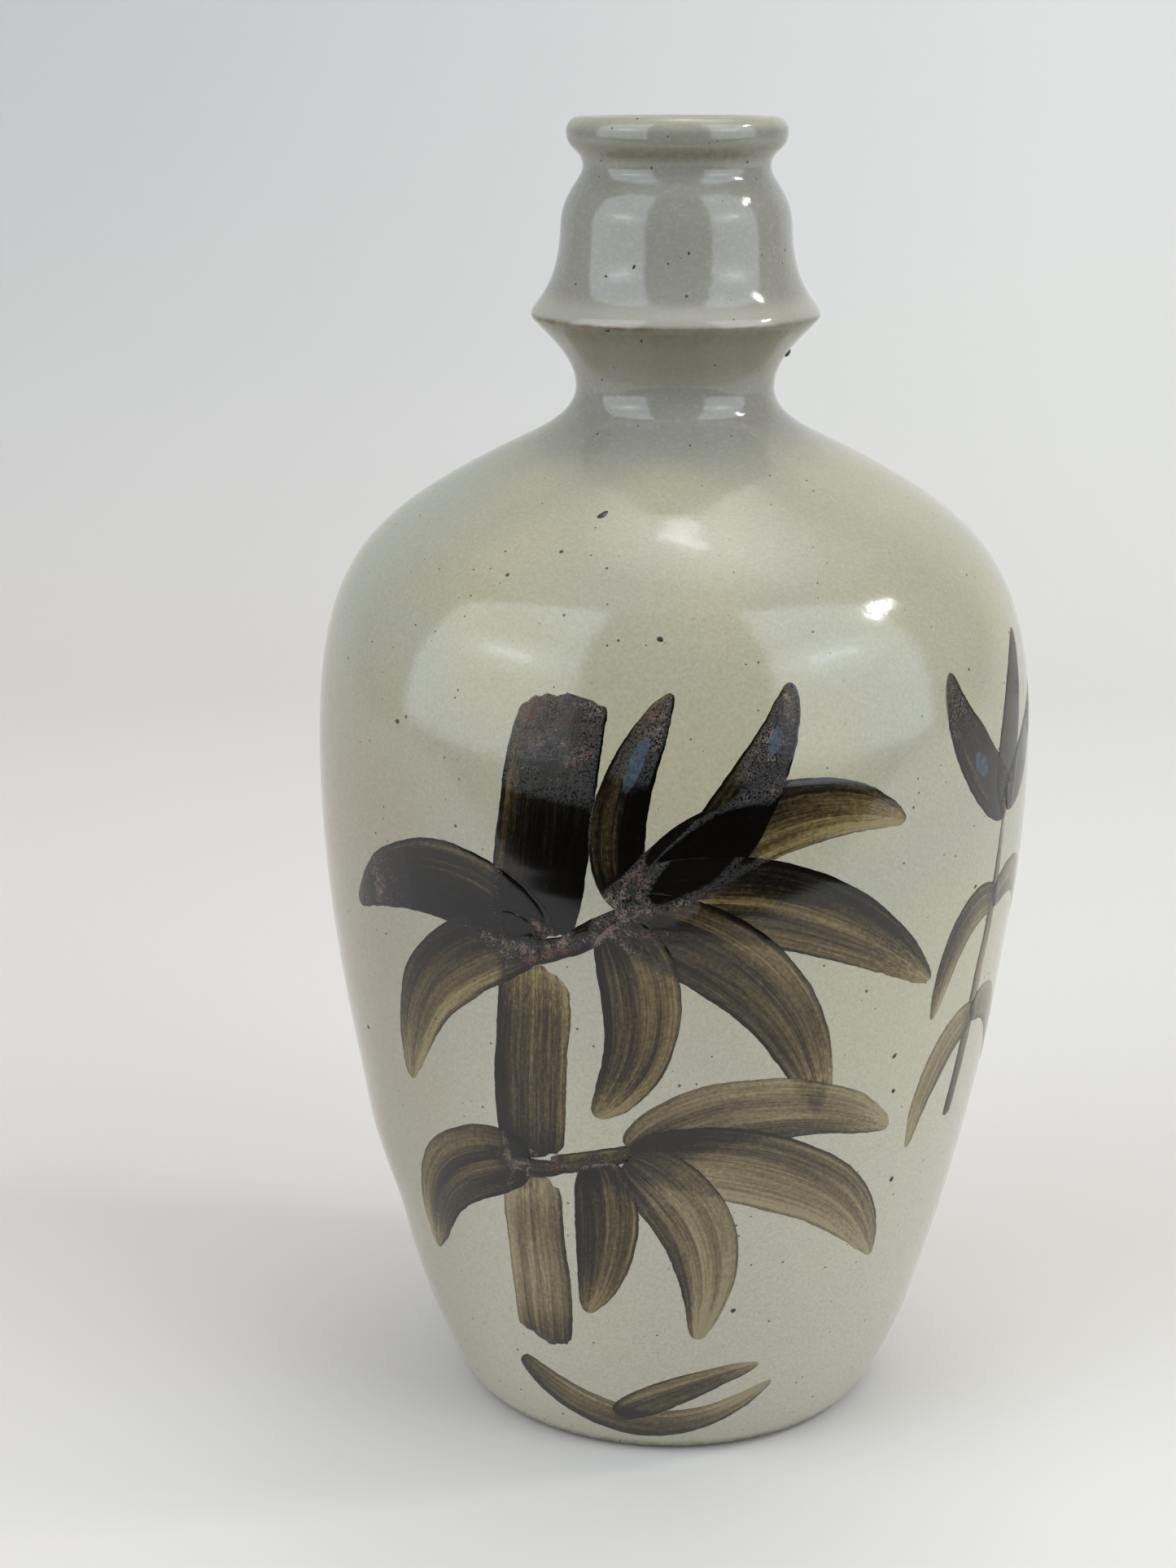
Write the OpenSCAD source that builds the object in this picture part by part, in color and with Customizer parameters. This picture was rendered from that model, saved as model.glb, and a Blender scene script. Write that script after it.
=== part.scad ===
// Sake bottle (tokkuri): hand-thrown stoneware with a clear grey glaze and brushed iron-oxide bamboo.
// Millimetres, +Z up, origin at the centre of the foot, painted front towards -Y.

/* [Body] */
// Height from the foot to the top of the lip
bottle_h = 200; // [188:1:215]
// Outer radius of the belly at its widest
belly_r = 54.9; // [50:0.1:58]
// Height of the widest point of the belly
belly_z = 104; // [98:1:108]
// Outer radius at the glaze line just above the foot
foot_r = 32.6; // [30:0.1:36]
// Height at which the glaze stops and the bare foot begins
glaze_line_z = 0.8; // [0.6:0.1:1.6]
// Outer radius where the shoulder runs in under the neck
shoulder_r = 28.4; // [26:0.1:30]
// Drop from the lip to that point
shoulder_drop = 49.8; // [48:0.1:52]

/* [Neck] */
// Outer radius of the waist under the collar
waist_r = 14.9; // [14.6:0.1:16]
// Drop from the lip to the waist
waist_drop = 39.1; // [38:0.1:40]
// Outer radius of the sharp collar
collar_r = 21.6; // [19:0.1:24]
// Drop from the lip to the collar's edge
collar_drop = 28.4; // [27:0.1:30]
// Outer radius of the throat above the collar
throat_r = 17.2; // [16.6:0.1:18]
// Drop from the lip to the throat
throat_drop = 15.5; // [14.5:0.1:16.5]
// Outer radius of the groove under the lip
groove_r = 13.9; // [13.6:0.1:14.8]
// Drop from the lip to the groove
groove_drop = 6.8; // [6.4:0.1:7.4]
// Outer radius of the rolled lip
lip_r = 16.4; // [15.6:0.1:17.5]
// Drop from the top of the lip to its widest point
lip_drop = 1.9; // [1.6:0.1:2.4]
// Radius of the lip's flat crown
crown_r = 14; // [13.4:0.1:14.6]
// Radius of the straight bore that takes a stopper
bore_r = 10; // [9:0.1:10.4]
// Drop from the lip to the top of the straight bore
mouth_drop = 5; // [4:0.1:6]

/* [Walls] */
// Thickness of the stoneware at the belly
wall_t = 4.5; // [3.8:0.1:5.5]
// Thickness of the stoneware under the shoulder
shoulder_t = 4.3; // [3.8:0.1:5]
// Height of the inside floor above the table
floor_z = 6.5; // [5.5:0.1:8]
// Radius of the shallow recess under the foot
recess_r = 25; // [20:0.5:27]
// Depth of that recess
recess_h = 1.4; // [0.8:0.1:2]
// Thickness of the outer glaze on the open wall
glaze_t = 0.4; // [0.3:0.05:0.5]
// Thickness of the liner glaze inside
liner_t = 0.3; // [0.2:0.05:0.4]

/* [Luted joints] */
// Height of the joint between the thrown body and the shoulder
belly_seam_z = 112; // [108:1:118]
// Drop from the lip to the joint between the shoulder and the neck
neck_seam_drop = 45; // [44.5:0.1:45.5]
// Height of the lap in the belly joint
lap_h = 3; // [2:0.5:5]
// Radius of the neck's spigot in the shoulder's opening
spigot_r = 14.2; // [13.4:0.1:15]

/* [Brushwork] */
// Thickness of the fired iron-oxide film
film_t = 0.12; // [0.08:0.01:0.2]
// Width of a stroke at its very tips
tip_w = 0.4; // [0.2:0.05:0.6]

/* [Hidden] */
stoneware = [0.55, 0.49, 0.42];
clear_glaze = [0.70, 0.70, 0.64];
liner_glaze = [0.62, 0.60, 0.53];
iron_black = [0.12, 0.10, 0.07];
iron_tan = [0.40, 0.34, 0.24];

// Heights of the features that are measured down from the lip
shoulder_z = bottle_h - shoulder_drop;
waist_z = bottle_h - waist_drop;
collar_z = bottle_h - collar_drop;
throat_z = bottle_h - throat_drop;
groove_z = bottle_h - groove_drop;
lip_z = bottle_h - lip_drop;
mouth_z = bottle_h - mouth_drop;
neck_seam_z = bottle_h - neck_seam_drop;
// How far past the clay a cutting shape reaches
beyond = 20;

// Glaze is thin where it starts, breaks thin over the collar's edge and pools in the groove
foot_coat = 0.1;
edge_coat = 0.12;
pool_depth = 0.1;
pooled_coat = glaze_t + pool_depth;

// A station is [radius, height, heading in degrees, pull before, pull after, coat thickness].
// Curves run up the outside from the foot, over the lip and into the mouth.
OUTER = [
    [foot_r, glaze_line_z, 43, 1, 0.25, foot_coat],
    [belly_r, belly_z, 90, 1.18, 1.64, glaze_t],
    [shoulder_r, shoulder_z, 152, 1.28, 1.16, glaze_t],
    [waist_r, waist_z, 90, 0.88, 1.27, pooled_coat],
    [collar_r, collar_z, 90, 0.3, 0.42, edge_coat],
    [throat_r, throat_z, 92, 2.16, 1.66, glaze_t],
    [groove_r, groove_z, 90, 0.64, 1.3, pooled_coat],
    [lip_r, lip_z, 90, 1.4, 1.3, glaze_t],
    [crown_r, bottle_h, 180, 1.1, 1, glaze_t],
    [bore_r, mouth_z, 270, 1, 1, liner_t]
];
OUTER_STEPS = [22, 14, 8, 8, 8, 7, 6, 5, 6];

// The clay's inner face, from the middle of the floor up to the mouth
clay_bore_r = bore_r + liner_t;
bore_below_waist = 3;
bore_foot_z = waist_z - bore_below_waist;
corner_past_foot = 2.2;
corner_rise = 11.5;
// Shares of the wall's thickness, inward and down, from the shoulder's outside to its inside
shoulder_in = 0.47;
shoulder_down = 0.88;
CAVITY = [
    [0, floor_z, 0, 1, 1.2, liner_t],
    [foot_r + corner_past_foot, floor_z + corner_rise, 61, 1.2, 1, liner_t],
    [belly_r - glaze_t - wall_t, belly_z, 90, 1.1, 1.6, liner_t],
    [shoulder_r - shoulder_in * shoulder_t, shoulder_z - shoulder_down * shoulder_t, 152, 1.25, 1, liner_t],
    [clay_bore_r, bore_foot_z, 90, 1, 1, liner_t],
    [clay_bore_r, mouth_z, 90, 1, 1, liner_t]
];
CAVITY_STEPS = [9, 14, 12, 7, 1];

// Bare foot: a narrow ring to stand on around the shallow recess
foot_bevel = 0.9;
recess_slope = 1.5;
FOOT = [
    [0, recess_h],
    [recess_r - recess_slope, recess_h],
    [recess_r, 0],
    [foot_r - foot_bevel, 0]
];

function last(v) = v[len(v) - 1];
function reverse(v) = [for (i = [len(v) - 1 : -1 : 0]) v[i]];
function spot(s) = [s[0], s[1]];
function toward(angle) = [cos(angle), sin(angle)];
function reach(a, b) = norm(spot(b) - spot(a)) / 3;
function handles(a, b) = [
    spot(a),
    spot(a) + a[4] * reach(a, b) * toward(a[2]),
    spot(b) - b[3] * reach(a, b) * toward(b[2]),
    spot(b)
];
function curve(h, t) = pow(1 - t, 3) * h[0] + 3 * t * pow(1 - t, 2) * h[1]
    + 3 * t * t * (1 - t) * h[2] + pow(t, 3) * h[3];
function travel(h, t) = pow(1 - t, 2) * (h[1] - h[0]) + 2 * t * (1 - t) * (h[2] - h[1])
    + t * t * (h[3] - h[2]);
function right_of(d) = [d[1], -d[0]] / norm(d);
// One stretch between two stations, sunk by a share of the coat
function stretch(a, b, steps, sunk) = [
    for (i = [0 : steps - 1])
        let (h = handles(a, b), t = i / steps)
        curve(h, t) - sunk * (a[5] + t * (b[5] - a[5])) * right_of(travel(h, t))
];
function outline(stations, steps, sunk) = concat(
    [for (i = [0 : len(steps) - 1]) each stretch(stations[i], stations[i + 1], steps[i], sunk)],
    [spot(last(stations)) - sunk * last(stations)[5] * right_of(toward(last(stations)[2]))]
);

GLAZE_LINE = outline(OUTER, OUTER_STEPS, 0);
CLAY_LINE = outline(OUTER, OUTER_STEPS, 1);
CLAY_INSIDE = outline(CAVITY, CAVITY_STEPS, 0);
LINER_LINE = outline(CAVITY, CAVITY_STEPS, 1);

// Outer radius of the glazed wall at a height below the neck
body_points = OUTER_STEPS[0] + OUTER_STEPS[1];
WALL_TABLE = [for (i = [0 : body_points]) [GLAZE_LINE[i][1], GLAZE_LINE[i][0]]];
function wall_r(z) = lookup(z, WALL_TABLE);
lap_r = wall_r(belly_seam_z) - glaze_t - wall_t / 2;

// Stoneware before it is parted at the luted joints
module clay_section() {
    polygon(concat(CLAY_LINE, reverse([for (i = [0 : len(CLAY_INSIDE) - 2]) CLAY_INSIDE[i]]), FOOT));
}

module below_belly_joint() {
    translate([0, -beyond])
        square([belly_r + beyond, belly_seam_z + beyond]);
    square([lap_r, belly_seam_z + lap_h]);
}

module above_neck_joint() {
    translate([0, neck_seam_z])
        square([belly_r, neck_seam_drop + beyond]);
    translate([0, neck_seam_z - beyond / 2])
        square([spigot_r, beyond]);
}

// Lower throwing: floor, foot and belly wall, with the inner half of the belly lap
module stoneware_body() {
    color(stoneware)
        rotate_extrude()
            intersection() {
                clay_section();
                below_belly_joint();
            }
}

// Upper throwing: the dome from the belly joint to the neck's opening
module stoneware_shoulder() {
    color(stoneware)
        rotate_extrude()
            difference() {
                clay_section();
                below_belly_joint();
                above_neck_joint();
            }
}

// Neck with its spigot, sharp collar, groove and rolled lip
module stoneware_neck() {
    color(stoneware)
        rotate_extrude()
            intersection() {
                clay_section();
                above_neck_joint();
            }
}

// Clear glaze from just above the foot, over the lip and down into the mouth
module outer_glaze() {
    color(clear_glaze)
        rotate_extrude()
            polygon(concat(GLAZE_LINE, reverse(CLAY_LINE)));
}

// Liner glaze over the whole inside, with the bore that takes a stopper
module inner_glaze() {
    color(liner_glaze)
        rotate_extrude()
            polygon(concat(CLAY_INSIDE, reverse(LINER_LINE)));
}

// A brush stroke is [four curve points as [degrees round from the front, height],
// full width, how fast it opens, how fast it closes].
leaf_opens = 0.32;
leaf_closes = 0.62;
segment_opens = 0.07;
segment_closes = 0.07;
tick_opens = 0.5;
tick_closes = 0.6;
twig_opens = 0.2;
twig_closes = 0.4;
stem_opens = 0.15;
stem_closes = 0.5;
CULM = [
    [[[-26, 21], [-26, 31], [-25, 41], [-24, 51]], 10, segment_opens, segment_closes],
    [[[-24, 55], [-23, 65], [-22, 76], [-21, 86]], 11.5, segment_opens, segment_closes],
    [[[-21, 91], [-20, 102], [-18, 113], [-16, 125]], 14, segment_opens, segment_closes],
    [[[-33, 55], [-28, 52], [-22, 52], [-15, 55]], 3, tick_opens, tick_closes],
    [[[-31, 90], [-26, 87], [-18, 87], [-11, 92]], 3.8, tick_opens, tick_closes],
    [[[-16, 89], [-12, 91], [-8, 94], [-3, 97]], 3.6, twig_opens, twig_closes],
    [[[-20, 54], [-15, 55], [-9, 56], [-3, 58]], 3.2, twig_opens, twig_closes]
];
LEAVES = [
    [[[-6, 96], [8, 108], [22, 113], [37, 106]], 11, leaf_opens, leaf_closes],
    [[[-3, 97], [6, 103], [14, 113], [18, 127]], 9.5, leaf_opens, leaf_closes],
    [[[-6, 96], [-10, 104], [-7, 116], [0, 126]], 8, leaf_opens, leaf_closes],
    [[[-8, 95], [8, 101], [28, 94], [45, 80]], 13, leaf_opens, leaf_closes],
    [[[-8, 94], [8, 92], [21, 80], [25, 62]], 12.5, leaf_opens, leaf_closes],
    [[[-9, 93], [-1, 84], [-3, 72], [-12, 63]], 11.5, leaf_opens, leaf_closes],
    [[[-20, 90], [-32, 100], [-46, 98], [-58, 88]], 12, leaf_opens, leaf_closes],
    [[[-20, 90], [-34, 88], [-45, 78], [-49, 62]], 11.5, leaf_opens, leaf_closes],
    [[[-6, 57], [8, 67], [26, 66], [40, 57]], 10.5, leaf_opens, leaf_closes],
    [[[-6, 56], [14, 58], [32, 50], [43, 34]], 12.5, leaf_opens, leaf_closes],
    [[[-7, 56], [5, 49], [11, 38], [6, 24]], 11.5, leaf_opens, leaf_closes],
    [[[-12, 55], [-10, 48], [-11, 38], [-16, 28]], 9.5, leaf_opens, leaf_closes],
    [[[-24, 53], [-38, 54], [-48, 46], [-54, 31]], 12, leaf_opens, leaf_closes]
];
GROUND = [
    [[[-34, 16], [-20, 5], [6, 3], [24, 14]], 6.5, leaf_opens, leaf_closes],
    [[[-12, 8], [-2, 13], [8, 16], [20, 18]], 5.5, leaf_opens, leaf_closes]
];
SIDE_SPRAY = [
    [[[58, 54], [60, 72], [62, 88], [64, 104]], 2.8, stem_opens, stem_closes],
    [[[65, 102], [56, 108], [50, 114], [48, 125]], 9, leaf_opens, leaf_closes],
    [[[64, 103], [64, 112], [68, 120], [74, 127]], 8, leaf_opens, leaf_closes],
    [[[64, 103], [72, 106], [78, 112], [84, 117]], 7.5, leaf_opens, leaf_closes],
    [[[63, 88], [54, 91], [49, 84], [47, 73]], 6, leaf_opens, leaf_closes],
    [[[62, 88], [70, 93], [77, 90], [81, 81]], 6, leaf_opens, leaf_closes],
    [[[61, 70], [53, 71], [48, 64], [46, 52]], 6, leaf_opens, leaf_closes],
    [[[60, 70], [67, 73], [74, 68], [78, 57]], 6, leaf_opens, leaf_closes]
];
// Directions, in degrees round from the front, that the two paintings face
front_view = -6;
side_view = 64;
stroke_steps = 12;
deg = 180 / PI;

// Width along a stroke from 0 to 1, full at its broadest point
function opening(t, a, b) = pow(t, a) * pow(1 - t, b);
function breadth(stroke, t) = tip_w + (stroke[1] - tip_w) * opening(t, stroke[2], stroke[3])
    / opening(stroke[2] / (stroke[2] + stroke[3]), stroke[2], stroke[3]);
// A point of a stroke, set off to one side of its middle and seen square on from one direction
function inked(stroke, t, side, view) =
    let (
        here = curve(stroke[0], t),
        r = wall_r(here[1]),
        d = travel(stroke[0], t),
        across = right_of([d[0] * r / deg, d[1]]) * side * breadth(stroke, t) / 2,
        angle = here[0] + across[0] / r * deg,
        z = here[1] + across[1]
    )
    [wall_r(z) * sin(angle - view), z];

module stroke_shape(stroke, view) {
    polygon(concat(
        [for (i = [0 : stroke_steps]) inked(stroke, i / stroke_steps, 1, view)],
        [for (i = [stroke_steps : -1 : 0]) inked(stroke, i / stroke_steps, -1, view)]
    ));
}

module strokes_shape(strokes, view) {
    for (stroke = strokes)
        stroke_shape(stroke, view);
}

// Thin skin of fired oxide all round the body
module film_skin() {
    inside = [for (i = [0 : body_points]) GLAZE_LINE[i]];
    rotate_extrude()
        polygon(concat(inside, reverse([for (p = inside) p + [film_t, 0]])));
}

// The part of the skin behind a flat shape that faces one direction
module film(view) {
    intersection() {
        film_skin();
        rotate([90, 0, view])
            linear_extrude(belly_r + beyond)
                children();
    }
}

// Stem segments with their ticks and twigs
module painted_culm() {
    color(iron_black)
        film(front_view)
            strokes_shape(CULM, front_view);
}

// Leaves, parted where they cross the stem
module painted_leaves() {
    color(iron_black)
        film(front_view)
            difference() {
                strokes_shape(LEAVES, front_view);
                strokes_shape(CULM, front_view);
            }
}

// Low sweep of grass near the foot
module painted_ground() {
    color(iron_tan)
        film(front_view)
            strokes_shape(GROUND, front_view);
}

// Slender spray on the right side
module painted_side_spray() {
    color(iron_tan)
        film(side_view)
            strokes_shape(SIDE_SPRAY, side_view);
}

stoneware_body();
stoneware_shoulder();
stoneware_neck();
outer_glaze();
inner_glaze();
painted_culm();
painted_leaves();
painted_ground();
painted_side_spray();
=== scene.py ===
"""Looks of the stoneware sake bottle: clear grey glaze, bare foot and brushed iron-oxide bamboo."""
import math

import bpy
import numpy as np
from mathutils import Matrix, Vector


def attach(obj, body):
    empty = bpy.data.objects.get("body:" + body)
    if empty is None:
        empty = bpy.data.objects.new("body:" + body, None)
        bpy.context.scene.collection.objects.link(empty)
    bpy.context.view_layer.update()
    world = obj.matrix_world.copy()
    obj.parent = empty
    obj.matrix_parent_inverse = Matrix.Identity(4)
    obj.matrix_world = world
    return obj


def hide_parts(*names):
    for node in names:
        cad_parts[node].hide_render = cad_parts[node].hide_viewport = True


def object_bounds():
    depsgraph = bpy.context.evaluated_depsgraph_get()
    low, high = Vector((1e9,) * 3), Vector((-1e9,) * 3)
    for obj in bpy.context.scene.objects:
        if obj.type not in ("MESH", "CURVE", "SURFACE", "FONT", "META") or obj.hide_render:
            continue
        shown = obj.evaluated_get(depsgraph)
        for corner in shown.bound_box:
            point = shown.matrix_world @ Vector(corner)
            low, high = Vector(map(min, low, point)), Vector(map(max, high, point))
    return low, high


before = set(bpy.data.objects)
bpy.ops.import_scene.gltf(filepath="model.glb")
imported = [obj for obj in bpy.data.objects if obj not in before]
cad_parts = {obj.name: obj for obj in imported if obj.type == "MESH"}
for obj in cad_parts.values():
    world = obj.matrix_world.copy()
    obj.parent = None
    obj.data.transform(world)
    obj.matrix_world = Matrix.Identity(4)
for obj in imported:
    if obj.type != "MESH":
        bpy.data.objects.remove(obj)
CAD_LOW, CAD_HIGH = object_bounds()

DRAWN_H = 200.0                        # the bottle is drawn 200 units tall, one to a millimetre
MM = (CAD_HIGH[2] - CAD_LOW[2]) / DRAWN_H
BODY = "root"

# ---------------------------------------------------------------- profile of the bottle
# Stations: radius, height, heading in degrees, pull before, pull after, glaze thickness.
OUTER = [
    (32.6, 0.8, 43, 1.0, 0.25, 0.10),      # glaze line above the foot
    (54.9, 104.0, 90, 1.18, 1.64, 0.40),   # belly
    (28.4, 150.2, 152, 1.28, 1.16, 0.40),  # shoulder
    (14.9, 160.9, 90, 0.88, 1.27, 0.50),   # waist
    (21.6, 171.6, 90, 0.30, 0.42, 0.12),   # collar's edge
    (17.2, 184.5, 92, 2.16, 1.66, 0.40),   # throat
    (13.9, 193.2, 90, 0.64, 1.30, 0.50),   # groove
    (16.4, 198.1, 90, 1.40, 1.30, 0.40),   # lip
    (14.0, 200.0, 180, 1.10, 1.00, 0.40),  # crown of the lip
    (10.0, 195.0, 270, 1.00, 1.00, 0.30),  # mouth
]
OUTER_STEPS = (72, 44, 18, 14, 24, 18, 12, 10, 12)
UNDER_STEPS = (30, 18, 9, 8, 12, 9, 6, 5, 6)
CAVITY = [
    (0.0, 6.5, 0, 1.0, 1.2, 0.3),
    (34.8, 18.0, 61, 1.2, 1.0, 0.3),
    (50.1, 104.0, 90, 1.1, 1.6, 0.3),
    (26.4, 146.4, 152, 1.25, 1.0, 0.3),
    (10.3, 157.9, 90, 1.0, 1.0, 0.3),
    (10.3, 195.0, 90, 1.0, 1.0, 0.3),
]
CAVITY_STEPS = (20, 30, 24, 14, 12)
RECESS_H = 1.4                                  # under the foot
BELLY_SEAM_Z, LAP_R, LAP_H = 112.0, 52.0, 3.0   # stepped ring joint between body and shoulder
NECK_SEAM_Z, SPIGOT_R = 155.0, 14.2             # the neck's spigot in the shoulder
LIP_RISE_Z, LIP_RISE_OVER = 197.5, 2.3          # where the lip's top starts to run up, and over what
LIP_RISE, LIP_TILT = 0.42, 0.03                 # its mean rise in mm, and more per mm to the front
FOOT_FADE, MOUTH_Z, MOUTH_FADE, NECK_Z = 6, 196, 4, 156   # where the wobble of the wall fades
ON_AXIS = 1e-6                                  # a radius under this lies on the axis


def toward(degrees):
    """Unit vector (outward, up) at a heading."""
    return np.array([math.cos(math.radians(degrees)), math.sin(math.radians(degrees))])


def bezier(h, t):
    """Points of a cubic curve with control points h."""
    t = np.asarray(t, float)[..., None]
    return ((1 - t) ** 3 * h[0] + 3 * t * (1 - t) ** 2 * h[1]
            + 3 * t * t * (1 - t) * h[2] + t ** 3 * h[3])


def bezier_slope(h, t):
    """A third of the curve's derivative."""
    t = np.asarray(t, float)[..., None]
    return ((1 - t) ** 2 * (h[1] - h[0]) + 2 * t * (1 - t) * (h[2] - h[1])
            + t * t * (h[3] - h[2]))


def right_of(d):
    """Unit vectors a quarter turn to the right of some directions."""
    n = np.stack([d[..., 1], -d[..., 0]], -1)
    return n / np.maximum(np.linalg.norm(n, axis=-1, keepdims=True), 1e-9)


def outline(stations, steps, sunk):
    """Points of a run of curves, each sunk below the surface by a share of the glaze's thickness."""
    points = []
    for a, b, n in zip(stations, stations[1:], steps):
        pa, pb = np.array(a[:2]), np.array(b[:2])
        pull = np.linalg.norm(pb - pa) / 3
        h = [pa, pa + a[4] * pull * toward(a[2]), pb - b[3] * pull * toward(b[2]), pb]
        t = np.arange(n) / n
        coat = a[5] + t * (b[5] - a[5])
        points.append(bezier(h, t) - sunk * coat[:, None] * right_of(bezier_slope(h, t)))
    end = stations[-1]
    points.append((np.array(end[:2]) - sunk * end[5] * right_of(toward(end[2])))[None])
    return np.concatenate(points)


GLAZE = outline(OUTER, OUTER_STEPS, 0)
CLAY = outline(OUTER, UNDER_STEPS, 1)
INSIDE = outline(CAVITY, CAVITY_STEPS, 0)
LINER = outline(CAVITY, CAVITY_STEPS, 1)
WALL = GLAZE[:sum(OUTER_STEPS[:-2])]


def wall_r(z):
    """Nominal outer radius at a height, from the foot to the lip."""
    return np.interp(z, WALL[:, 1], WALL[:, 0])


def bump(x, centre, width):
    """Smooth hill of height one."""
    return np.exp(-((x - centre) / width) ** 2)


def turn(angle, centre):
    """Signed angle in degrees between two directions round the axis."""
    return (angle - centre + 180) % 360 - 180


def wobble(angle, z):
    """Hand-thrown unevenness in mm: slow lumps, faint spiral rings and the marks of fingers.
    It fades out at the foot's glaze line and at the mouth, and is halved on the neck."""
    a = np.radians(angle)
    lumps = (0.10 * np.sin(2 * a + 0.9 + z / 55) + 0.07 * np.sin(3 * a - z / 23 + 2.1)
             + 0.05 * np.sin(5 * a + z / 17 + 0.4) + 0.03 * np.sin(7 * a - z / 11))
    rings = (0.007 * np.sin(z / 1.15 - a + 0.5 * np.sin(z / 9))
             + 0.004 * np.sin(z / 0.62 - a + 1.7))
    marks = (0.40 * bump(turn(angle, -84), 0, 26) * (bump(z, 45, 7) - bump(z, 31, 6))
             - 0.30 * bump(turn(angle, 84), 0, 30) * bump(z, 76, 10)
             + 0.25 * bump(turn(angle, 80), 0, 14) * bump(z, 14, 4))
    foot = np.clip((z - OUTER[0][1]) / FOOT_FADE, 0, 1)
    mouth = np.clip((MOUTH_Z - z) / MOUTH_FADE, 0, 1)
    neck = np.where(z > NECK_Z, 0.5, 1.0)
    return (lumps + rings + marks) * foot * mouth * neck


def place(angle, r, z):
    """Point in metres for an angle round from the painted front, in degrees. The lip's top runs
    up a little towards the front."""
    a = np.radians(angle)
    z = z + np.clip((z - LIP_RISE_Z) / LIP_RISE_OVER, 0, 1) * (LIP_RISE + LIP_TILT * r * np.cos(a))
    return np.stack([r * np.sin(a), -r * np.cos(a), z], -1) * MM


# ---------------------------------------------------------------- meshes
def add_object(name, data):
    thing = bpy.data.objects.new(name, data)
    bpy.context.scene.collection.objects.link(thing)
    return thing


def mesh_piece(name, verts, faces, material, sharp=40):
    """Piece that rides the body. Edges over the angle sharp, in degrees, stay sharp."""
    mesh = bpy.data.meshes.new(name)
    mesh.from_pydata([tuple(v) for v in verts], [], [tuple(f) for f in faces])
    mesh.validate()
    mesh.shade_smooth()
    mesh.set_sharp_from_angle(angle=math.radians(sharp))
    piece = add_object(name, mesh)
    mesh.materials.append(material)
    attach(piece, BODY)
    return piece


def revolve(name, loop, weights, segments, material, slot, underside=None):
    """Closed solid of revolution from a loop of (r, z). Weights say how much each point wobbles,
    and underside adds a height to each."""
    loop, weights = np.asarray(loop, float), np.asarray(weights, float)
    angles = np.arange(segments) * 360 / segments
    a = angles[:, None]
    r, z = loop[None, :, 0], loop[None, :, 1]
    r = np.where(r > ON_AXIS, r + weights[None] * wobble(a, z + 0 * a), 0.0) + 0 * a
    z = z + 0 * a
    if underside is not None:
        z = z + underside(a + 0 * r, r, loop[None, :, 1] + 0 * a)
    points = place(a + 0 * r, r, z).reshape(-1, 3)
    n = len(loop)
    on_axis = loop[:, 0] < ON_AXIS
    index = np.arange(segments * n).reshape(segments, n)
    index[:, on_axis] = index[0, on_axis]
    faces = []
    for i in range(segments):
        j = (i + 1) % segments
        for k in range(n):
            m = (k + 1) % n
            face = [index[i, k], index[j, k], index[j, m], index[i, m]]
            kept = [v for p, v in enumerate(face) if v not in face[:p]]
            if len(kept) >= 3:
                faces.append(kept)
    used = sorted({v for f in faces for v in f})
    renumber = {v: i for i, v in enumerate(used)}
    faces = [[renumber[v] for v in f] for f in faces]
    points = points[used]
    # every seventh face is enough to tell the sign of the volume
    volume = sum(np.dot(points[f[0]], np.cross(points[f[k]], points[f[k + 1]]))
                 for f in faces[::7] for k in range(1, len(f) - 1))
    if volume < 0:
        faces = [f[::-1] for f in faces]
    return mesh_piece(name, points, faces, material)


# ---------------------------------------------------------------- shader helpers
MIX_A, MIX_B, MIX_RESULT = 6, 7, 2     # a Mix node's sockets for colours


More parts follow.
